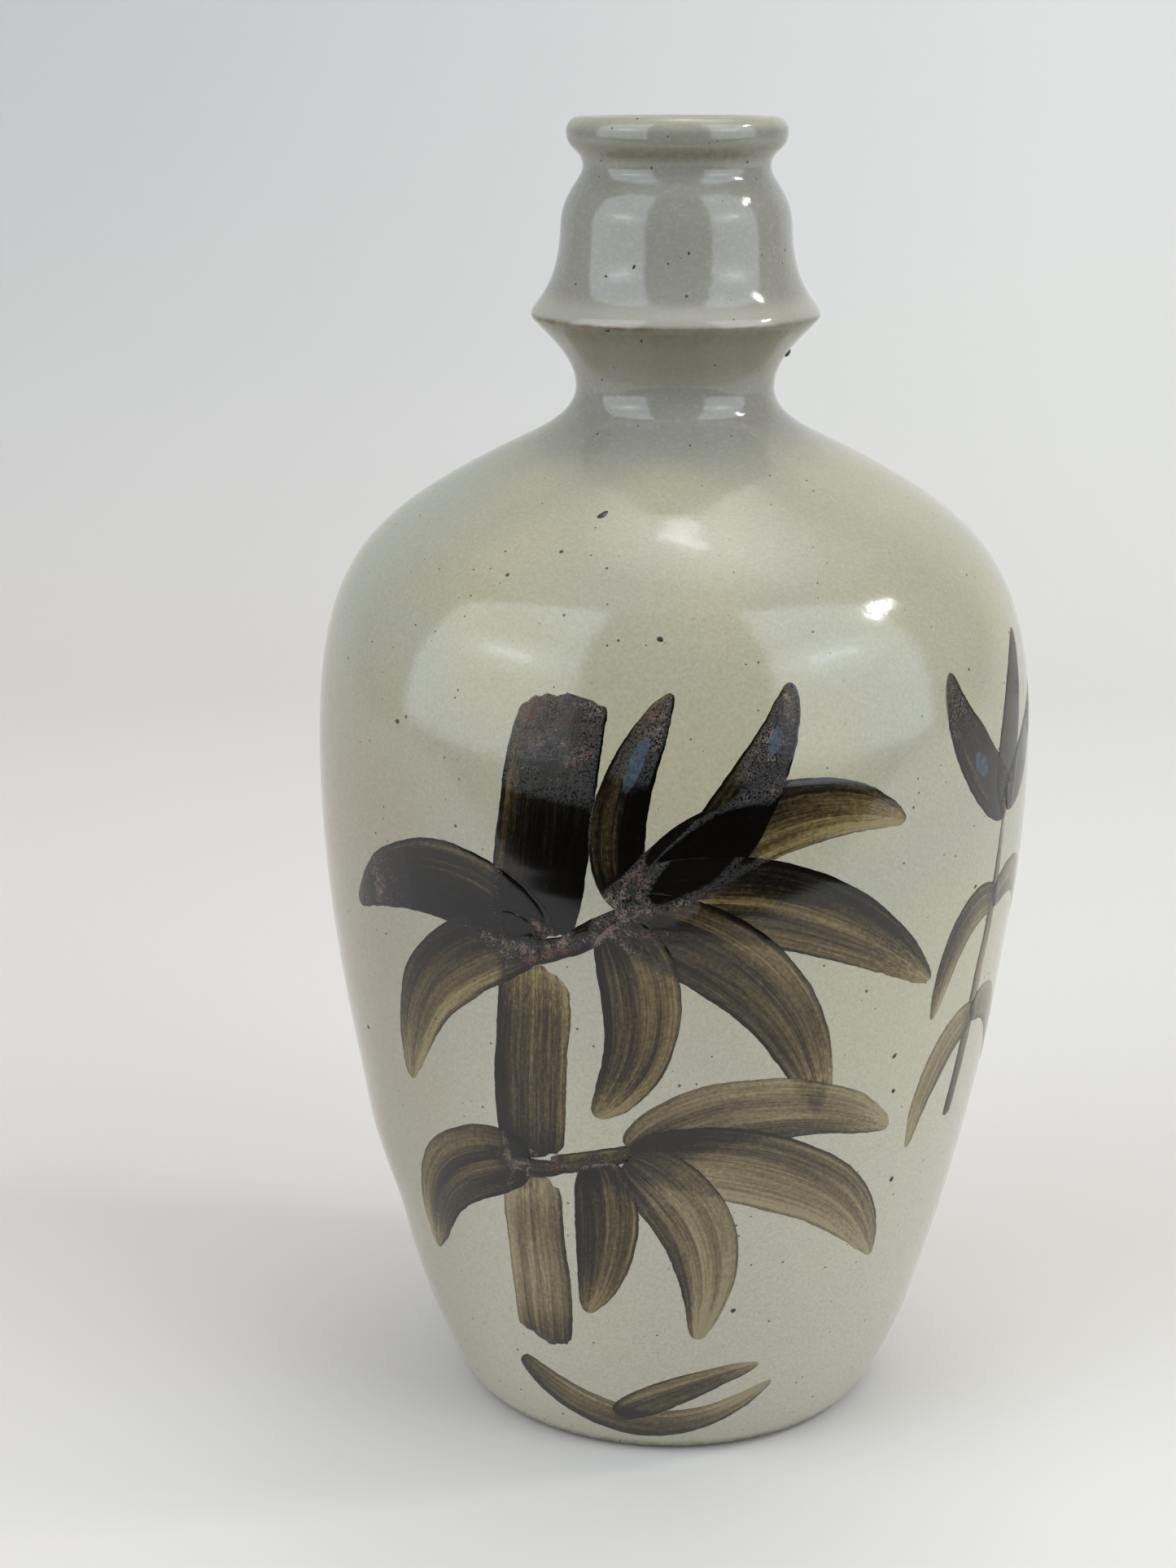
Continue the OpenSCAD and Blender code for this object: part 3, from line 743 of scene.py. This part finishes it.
def brush_stroke(name, number, node, stroke, others, earlier, ink):
    """One stroke: a thin closed slab on the glaze, with what its ink needs at each point."""
    seed = 10 + number
    length = centre_line(stroke, 2)[1][-1]
    t, u, p, across = centre_line(stroke, int(length / ROW_STEP) + 2)
    # its two ragged sides
    lanes = np.sin(np.linspace(-90, 90, LANES) * math.pi / 180)
    half = breadth(stroke, t) / 2
    dry = np.clip((t - DRY_FROM) / DRY_OVER, 0, 1)
    blunt = stroke[2][0] < BLUNT
    rough_edge = 0.10 + 0.22 * dry + (0.12 * np.clip(1 - t / 0.05, 0, 1) if blunt else 0)
    sides = []
    for side in (-1, 1):
        ragged = sum(wander(seed * 7 + side + k, u / wave) * size for k, wave, size in RAGGED)
        sides.append(half + ragged * np.minimum(1, half / 1.2) * (0.35 + 2.2 * rough_edge))
    drift = wander(seed + 900, u / 12) * 0.3 * np.minimum(1, half / 2)
    v = np.where(lanes[None] < 0, lanes[None] * sides[0][:, None], lanes[None] * sides[1][:, None])
    v = v + drift[:, None]
    # the ends are rounded and run out along single bristles
    bristle = wander(seed + 40, np.arange(len(lanes)) * 1.7)
    push = np.zeros_like(v)
    ends = 0.9 if blunt else 0.5
    near_end = np.clip(1 - (u[-1] - u) / END_REACH, 0, 1)
    near_start = np.clip(1 - u / END_REACH, 0, 1)
    if blunt:
        dome = 1.9 * (1 - lanes ** 2) + 0.8 * lanes * (1 if seed % 2 else -1) - 1.2
        push += (near_end[:, None] - near_start[:, None]) * dome[None]
    push += near_end[:, None] * bristle[None] * ends * np.minimum(1, half[:, None] / 1.5)
    push += near_start[:, None] * bristle[None, ::-1] * ends * 0.7 * np.minimum(1, half[:, None] / 1.5)
    along = np.stack([-across[:, 1], across[:, 0]], -1)
    flat = v[..., None] * across[:, None] + push[..., None] * along[:, None]
    z = p[:, None, 1] + flat[..., 1]
    angle = p[:, None, 0] + np.degrees(flat[..., 0] / wall_r(p[:, 1])[:, None])
    # how far inside its edge each point lies, and where it meets the other strokes
    inside = np.minimum(np.minimum(sides[0][:, None] + v - drift[:, None],
                                   sides[1][:, None] - v + drift[:, None]),
                        np.minimum(u, u[-1] - u)[:, None])
    edge = np.clip(1 - inside / 0.75, 0, 1)
    under, crossing, rim = np.zeros_like(z), np.zeros_like(z), np.zeros_like(z)
    for other in others:
        depth = cover(other, angle, z)
        crossing = np.maximum(crossing, np.clip(depth, 0, 1))
        rim = np.maximum(rim, bump(depth, 0.9, 0.9))
        if other in earlier:
            under += np.clip((depth + 0.7) / 0.8, 0, 1)
    lift = INK_H * np.clip(inside / 0.8, 0, 1) ** 0.7 + OVER_INK_H * under + LEAST_H
    top = on_wall(angle, z, lift)
    low = on_wall(angle, z, lift * 0 - SUNK)
    piece = mesh_piece(name, np.concatenate([top.reshape(-1, 3), low.reshape(-1, 3)]),
                       slab_faces(*z.shape), ink, 60)
    # how much ink lies at each point
    tone = TONES[stroke[3]]
    heavy = 1.0 if stroke[3] != "l" else 0.0
    slow = wander(seed + 60, u / 12)[:, None] * 0.12
    start = np.clip(1 - t / 0.22, 0, 1)[:, None]
    share = (v - drift[:, None]) / np.maximum(half, 0.4)[:, None]
    comb = share * stroke[1] / 2
    lean = 0.26 * share * (1 if seed % 3 else -1)
    dark_edge = np.clip(1 - inside / 0.55, 0, 1) * (1 - 0.7 * dry[:, None]) * (0.42 if heavy else 0.32)
    load = (tone + slow + lean + dark_edge + 0.08 * edge + 0.34 * start * (1 - 0.4 * edge)
            - 0.34 * dry[:, None] ** 1.5 + 0.24 * crossing - 0.10 * t[:, None])
    # crystals crust it by the crossings near its start, along its edge and on a dark stroke's end
    opening = np.clip(1 - u / 14, 0, 1)[:, None]
    patchy = np.clip(wander(seed + 61, u / 7)[:, None], 0, 1)
    crust = heavy * (0.62 * rim * (0.35 + 0.65 * opening) + 0.22 * edge * patchy)
    dark_end = (stroke[3] == "d") * np.clip((t - 0.5) / 0.3, 0, 1)[:, None]
    crust = crust + heavy * 0.45 * dark_end * (1 - edge)
    pool = np.zeros_like(z)
    if number in POOLS:
        at, half_length, half_width = POOLS[number]
        reach = np.hypot((u[:, None] - at * u[-1]) / half_length, (v - drift[:, None]) / half_width)
        pool = np.clip(1.4 - reach, 0, 1)
    grit = np.clip(dry[:, None] + 0.3 * wander(seed + 63, u / 5)[:, None] + 0 * z, 0, 1)
    lane = np.stack([np.broadcast_to(u[:, None], z.shape), comb, np.full(z.shape, seed * 3.7)], -1)
    add_values(piece, {"load": load, "crust": crust, "pool": pool, "grit": grit, "lane": lane})
    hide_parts(node)


inks = {tone: ink_material(name, [(k * STOP_GAP, srgb(*c)) for k, c in enumerate(colours)])
        for tone, (name, colours) in INK_COLOURS.items()}
everything = [(label, node, stroke) for label, node, strokes in PAINTED for stroke in strokes]
for number, (label, node, stroke) in enumerate(everything, 1):
    others = [other for k, (_, _, other) in enumerate(everything, 1) if k != number]
    earlier = [other for _, _, other in everything[:number - 1]]
    brush_stroke(f"{label}_{number:02d}", number, node, stroke, others, earlier, inks[stroke[3]])


# ---------------------------------------------------------------- iron spots
# The lump of grit and then the spots: degrees round, height, half length, half breadth and tilt
GRIT_H, SPOT_H = 0.45, 0.09
DOME = [(0.0, 1.0), (0.45, 0.86), (0.8, 0.5), (1.0, 0.0), (0.7, -0.9)]   # rings: reach and level
AROUND = 20
SPOTS = [
    (87, 165.9, 0.60, 0.38, 60),
    (-17, 147, 0.65, 0.38, 20), (-2, 133, 0.42, 0.38, 0), (39, 69, 0.45, 0.36, 60),
    (40, 63, 0.38, 0.36, 30), (44, 47, 0.50, 0.40, 50), (13, 29, 0.42, 0.38, 0),
    (-46, 118, 0.40, 0.36, 0), (-40, 74, 0.32, 0.30, 0), (55, 92, 0.36, 0.30, 40),
    (-63, 66, 0.40, 0.34, 10), (150, 95, 0.50, 0.42, 0), (205, 60, 0.42, 0.40, 0),
    (-27, 171.2, 0.40, 0.26, 10), (-14, 169.8, 0.26, 0.20, 60), (-20, 180, 0.30, 0.24, 80),
    (-34, 178.5, 0.24, 0.20, 0), (6, 182, 0.22, 0.20, 0),
    (118, 40, 0.36, 0.34, 0), (252, 112, 0.42, 0.34, 70), (176, 128, 0.34, 0.32, 0),
]


def iron_spots():
    """Small domes of melted iron, all in one piece."""
    verts, faces = [], []
    for k, (angle, z, length, width, tilt) in enumerate(SPOTS):
        first, height = len(verts), GRIT_H if k == 0 else SPOT_H
        for reach, level in DOME:
            a = np.arange(AROUND if reach else 1) * 2 * math.pi / AROUND
            uneven = 1 + 0.12 * np.sin(2 * a + k) + 0.07 * np.sin(3 * a - k)
            x, y = reach * length * uneven * np.cos(a), reach * width * uneven * np.sin(a)
            c, s = math.cos(math.radians(tilt)), math.sin(math.radians(tilt))
            dx, dz = x * c - y * s, x * s + y * c
            angles = angle + np.degrees(dx / wall_r(z + dz))
            verts.extend(on_wall(angles, z + dz, 0 * dx + height * level))
        rows = [[first] * AROUND]
        rows += [[first + 1 + r * AROUND + i for i in range(AROUND)] for r in range(len(DOME) - 1)]
        for upper, lower in zip(rows, rows[1:]):
            for i in range(AROUND):
                m = (i + 1) % AROUND
                face = [upper[i], lower[i], lower[m], upper[m]]
                faces.append(face[:3] if upper[i] == upper[m] else face)
        faces.append(rows[-1][::-1])
    piece = mesh_piece("iron_spots", verts, faces, spot_material(), 60)
    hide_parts("outer_glaze")


iron_spots()


# ---------------------------------------------------------------- floor, light and camera
# Lengths from here on are in metres, but for the paint's heights and breadths in mm.
TABLE_FRONT, TABLE_BACK, TABLE_HALF = -0.66, 0.45, 1.3
SWEEP_R, WALL_TOP = 0.45, 2.4
AIM = Vector((0, 0, 0.1))              # the middle of the bottle
SKY = (0.88, 1.0, 1.09)
ROOM_LIGHT, ROOM_SEEN = (0.215, 0.18, 0.152, 1.0), (0.76, 0.78, 0.77, 1.0)


def backdrop_material():
    """Matt paint with painted shade: it darkens softly up the wall and to its left, where less light
    falls.
    """
    n = Nodes("backdrop_paint_and_shade")
    x, y, z = n.xyz()
    floor = n.mix(n.step(x, -260, 260), srgb(212, 207, 205), srgb(215, 213, 208))
    wall = n.mix(n.step(x, -330, 330), srgb(184, 186, 185), srgb(209, 209, 207))
    # painted shade that grows up the wall
    rise = n.math("ADD", y, z)
    return n.finish(n.mix(n.step(rise, 250, 1150), floor, wall), 0.7)


def backdrop():
    """A table that turns up softly into the wall behind."""
    profile = [(TABLE_FRONT, 0.0), (TABLE_BACK, 0.0)]
    profile += [(TABLE_BACK + SWEEP_R * math.sin(a), SWEEP_R - SWEEP_R * math.cos(a))
                for a in np.radians(range(5, 91, 5))]
    profile += [(TABLE_BACK + SWEEP_R, WALL_TOP)]
    verts = [(x, y, z) for y, z in profile for x in (-TABLE_HALF, TABLE_HALF)]
    faces = [(2 * i, 2 * i + 1, 2 * i + 3, 2 * i + 2) for i in range(len(profile) - 1)]
    mesh = bpy.data.meshes.new("backdrop")
    mesh.from_pydata(verts, [], faces)
    mesh.shade_smooth()
    mesh.materials.append(backdrop_material())
    floor = add_object("backdrop", mesh)


def area_light(name, size, watts, colour, place, facing):
    light = bpy.data.lights.new(name, "AREA")
    light.shape = "RECTANGLE"
    light.size, light.size_y = size
    light.energy = watts
    light.color = colour
    lamp = add_object(name, light)
    lamp.location = place
    lamp.rotation_euler = facing.to_track_quat("-Z", "Y").to_euler()
    lamp.visible_camera = False
    return lamp


def panel(name, azimuth, elevation, distance, size, watts, colour=(1, 1, 1)):
    """Light aimed at the bottle: degrees round from the front, degrees up and distance."""
    a, e = math.radians(azimuth), math.radians(elevation)
    out = Vector((math.sin(a) * math.cos(e), -math.cos(a) * math.cos(e), math.sin(e)))
    place = AIM + distance * out
    return area_light(name, size, watts, colour, place, AIM - place)


def window(name, azimuth, distance, lateral, heights, radiance, colour):
    """Upright light that faces the bottle's axis, between lateral and height limits."""
    a = math.radians(azimuth)
    out, side = Vector((math.sin(a), -math.cos(a), 0)), Vector((math.cos(a), math.sin(a), 0))
    width, tall = lateral[1] - lateral[0], heights[1] - heights[0]
    place = out * distance + side * (lateral[0] + lateral[1]) / 2 + Vector((0, 0, sum(heights) / 2))
    area_light(name, (width, tall), radiance * math.pi * width * tall, colour, place, -out)


def soft_lamp(name, azimuth, elevation, distance, size, radiance, steps=4, colour=(1, 1, 1)):
    """Bright patch that fades at its edge: ellipses one inside another, 10 mm apart."""
    for k in range(steps):
        share = 1 - k / (steps + 0.5)
        width, tall = size[0] * share, size[1] * share
        lamp = panel(f"{name}_{k}", azimuth, elevation, distance - 0.01 * k, (width, tall),
                     radiance / steps * math.pi * math.pi / 4 * width * tall, colour=colour)
        lamp.data.shape = "ELLIPSE"


def dark_card(name, corners):
    """Unlit side of the room: seen only as a reflection in the glaze."""
    mesh = bpy.data.meshes.new(name)
    mesh.from_pydata(corners, [], [(0, 1, 2, 3)])
    n = Nodes(name)
    mesh.materials.append(n.finish((0.004, 0.004, 0.004, 1.0), 1.0, Specular_IOR_Level=0.0))
    card = add_object(name, mesh)
    card.visible_camera = card.visible_diffuse = card.visible_shadow = False
    card.visible_transmission = card.visible_volume_scatter = False


def room():
    """A pale studio to look at, which lights the bottle as a dimmer, warmer room."""
    world = bpy.data.worlds.new("room")
    bpy.context.scene.world = world
    world.use_nodes = True
    tree = world.node_tree
    mix = tree.nodes.new("ShaderNodeMix")
    mix.data_type = "RGBA"
    mix.inputs[MIX_A].default_value = ROOM_LIGHT
    mix.inputs[MIX_B].default_value = ROOM_SEEN
    tree.links.new(tree.nodes.new("ShaderNodeLightPath").outputs["Is Camera Ray"], mix.inputs[0])
    tree.links.new(mix.outputs[MIX_RESULT], tree.nodes["Background"].inputs["Color"])


backdrop()
# two tall windows in front, each with a broad glow and a thin bright bar within
window("window_left", -32, 0.6, (-0.98, 0.02), (0.05, 1.07), 2.24, SKY)
window("window_right", 32, 0.6, (0.02, 0.86), (0.05, 1.07), 2.27, SKY)
for name, side in (("left", -1), ("right", 1)):
    soft_lamp("glow_" + name, 54 * side, 27, 0.75, (0.62, 0.24), 1.8, colour=SKY)
    panel("spark_" + name, 57 * side, 27, 0.69, (0.20, 0.022), 0.06, colour=SKY)
# two small lamps on the right, and a soft ceiling with a few small lamps
panel("lamp", 90, 39, 1.2, (0.10, 0.05), 2.0)
panel("lamp_low", 84, 37, 1.2, (0.05, 0.04), 0.7)
soft_lamp("ceiling_glow", 140, 78, 1.32, (1.25, 1.05), 2.4, steps=5)
soft_lamp("ceiling_spark", 167, 79, 1.2, (0.34, 0.2), 0.8, steps=3)
for k, (azimuth, elevation) in enumerate(((154, 80.5), (178, 78.5), (172, 75))):
    panel(f"ceiling_tube_{k}", azimuth, elevation, 1.15, (0.11, 0.022), 0.08)
panel("ceiling", 0, 90, 1.6, (2.6, 2.6), 9.4, colour=(1.0, 0.97, 0.92))
# black sheets, seen only in reflections, that paint shade: over the floor in front, and in the gap
# between the windows
dark_card("dark_front", [(-1.6, -1.6, 0.003), (1.6, -1.6, 0.003),
                         (1.6, -0.235, 0.003), (-1.6, -0.235, 0.003)])
dark_card("dark_gap", [(-0.36, -0.62, 0.0), (0.44, -0.66, 0.0),
                       (0.44, -0.66, 1.3), (-0.36, -0.62, 1.3)])
room()

CAMERA_AT, CAMERA_YAW, CAMERA_DOWN, LENS = (0, -0.41797, 0.21708), -1.80, 15.865, 63.52
camera = add_object("camera", bpy.data.cameras.new("camera"))
bpy.context.scene.camera = camera
yaw, down = math.radians(CAMERA_YAW), math.radians(CAMERA_DOWN)
forward = Vector((math.sin(yaw) * math.cos(down), math.cos(yaw) * math.cos(down), -math.sin(down)))
camera.location = CAMERA_AT
camera.rotation_euler = forward.to_track_quat("-Z", "Y").to_euler()
camera.data.lens = LENS
camera.data.clip_start = 0.01
bpy.context.scene.view_settings.view_transform = "Standard"
